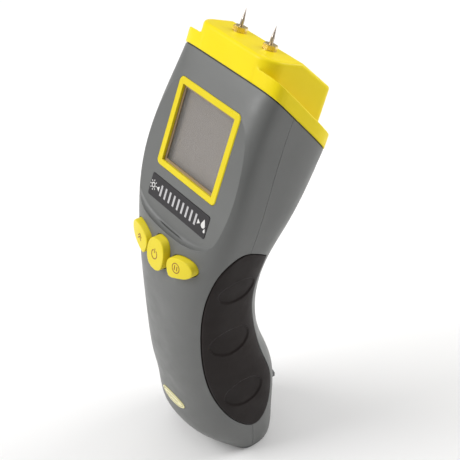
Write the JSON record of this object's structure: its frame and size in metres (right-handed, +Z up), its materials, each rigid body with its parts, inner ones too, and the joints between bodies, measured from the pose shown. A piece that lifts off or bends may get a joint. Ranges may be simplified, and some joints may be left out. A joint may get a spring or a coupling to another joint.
{
  "type": "moisture meter",
  "caption": "Handheld pin moisture meter standing on its base, with a slanted display head, yellow cap, two electrode pins, three keys and rubber grips.",
  "frame": {"origin": "centre of the flat base, on the surface it stands on", "axes": "+Z up along the handle, display faces -Y and up, +X to the user's right"},
  "size_m": [0.072, 0.0778, 0.2088],
  "materials": {
    "shell_grey": "satin",
    "door_grey": "satin",
    "latch_grey": "satin",
    "foam": "matte",
    "grip_rubber": "matte",
    "cap_yellow": "satin",
    "gasket_black": "matte",
    "bezel_yellow": "gloss",
    "clear_lens": "clear",
    "label_black": "satin",
    "light_guide": "frosted",
    "badge_yellow": "gloss",
    "foot_grey": "matte",
    "key_yellow": "satin",
    "board_green": "solder mask",
    "switch_black": "matte",
    "steel": "zinc plated",
    "lcd_glass": "polarised",
    "frame_white": "matte",
    "diffuser": "frosted",
    "elastomer": "matte",
    "led_white": "clear",
    "chip_black": "matte",
    "pin_steel": "polished",
    "brass": "bright",
    "carrier_black": "matte",
    "wire_red": "insulation",
    "battery_case": "satin",
    "wire_black": "insulation",
    "tray_grey": "matte"
  },
  "bodies": {
    "case": {"front_shell": "shell_grey", "rear_shell": "shell_grey", "hinge_pin": "steel", "left_grip": "grip_rubber", "right_grip": "grip_rubber", "head_cap": "cap_yellow", "head_gasket": "gasket_black", "display_bezel": "bezel_yellow", "display_lens": "clear_lens", "lens_gasket": "gasket_black", "scale_label": "label_black", "light_guide": "light_guide", "badge_plate": "badge_yellow", "base_foot": "foot_grey", "main_board": "board_green", "key_board": "board_green", "key_switches": "switch_black", "board_screws": "steel", "case_screws": "steel", "foot_screws": "steel", "lcd_glass": "lcd_glass", "lcd_frame": "frame_white", "backlight_diffuser": "diffuser", "elastomer_strips": "elastomer", "bar_leds": "led_white", "microcontroller": "chip_black", "board_chips": "chip_black", "crystal": "steel", "buzzer": "switch_black", "left_washer": "brass", "right_washer": "brass", "left_socket": "brass", "right_socket": "brass", "pin_carrier": "carrier_black", "pin_wires": "wire_red", "battery": "battery_case", "snap_connector": "switch_black", "battery_wires": "wire_black", "battery_tray": "tray_grey"},
    "power": {"power_key": "key_yellow"},
    "hold": {"hold_key": "key_yellow"},
    "mode": {"mode_key": "key_yellow"},
    "door": {"battery_door": "door_grey", "battery_pad": "foam"},
    "latch": {"door_latch": "latch_grey"},
    "left_electrode": {"left_pin": "pin_steel"},
    "right_electrode": {"right_pin": "pin_steel"},
    "left_clamp": {"left_nut": "brass"},
    "right_clamp": {"right_nut": "brass"}
  },
  "joints": [
    {"name": "power_key_press", "type": "slide", "parent": "case", "child": "power", "axis": [0, 1, 0], "range_m": [0, 0.0009], "stiffness_N_per_m": 400},
    {"name": "hold_key_press", "type": "slide", "parent": "case", "child": "hold", "axis": [0, 1, 0], "range_m": [0, 0.0009], "stiffness_N_per_m": 400},
    {"name": "mode_key_press", "type": "slide", "parent": "case", "child": "mode", "axis": [0, 1, 0], "range_m": [0, 0.0009], "stiffness_N_per_m": 400},
    {"name": "battery_door_swing", "type": "hinge", "parent": "case", "child": "door", "pos_m": [0, 0.0132, 0.0883], "axis": [1, 0, 0], "range_deg": [0, 70]},
    {"name": "door_latch_slide", "type": "slide", "parent": "door", "child": "latch", "axis": [0, 0, 1], "range_m": [0, 0.0014], "stiffness_N_per_m": 500},
    {"name": "left_pin_pull", "type": "slide", "parent": "case", "child": "left_electrode", "axis": [0, 0.3827, 0.9239], "range_m": [0, 0.012]},
    {"name": "left_nut_turn", "type": "hinge", "parent": "case", "child": "left_clamp", "pos_m": [-0.0103, 0.02654, 0.20014], "axis": [0, 0.3827, 0.9239], "continuous": true},
    {"name": "right_pin_pull", "type": "slide", "parent": "case", "child": "right_electrode", "axis": [0, 0.3827, 0.9239], "range_m": [0, 0.012]},
    {"name": "right_nut_turn", "type": "hinge", "parent": "case", "child": "right_clamp", "pos_m": [0.0103, 0.02654, 0.20014], "axis": [0, 0.3827, 0.9239], "continuous": true}
  ]
}
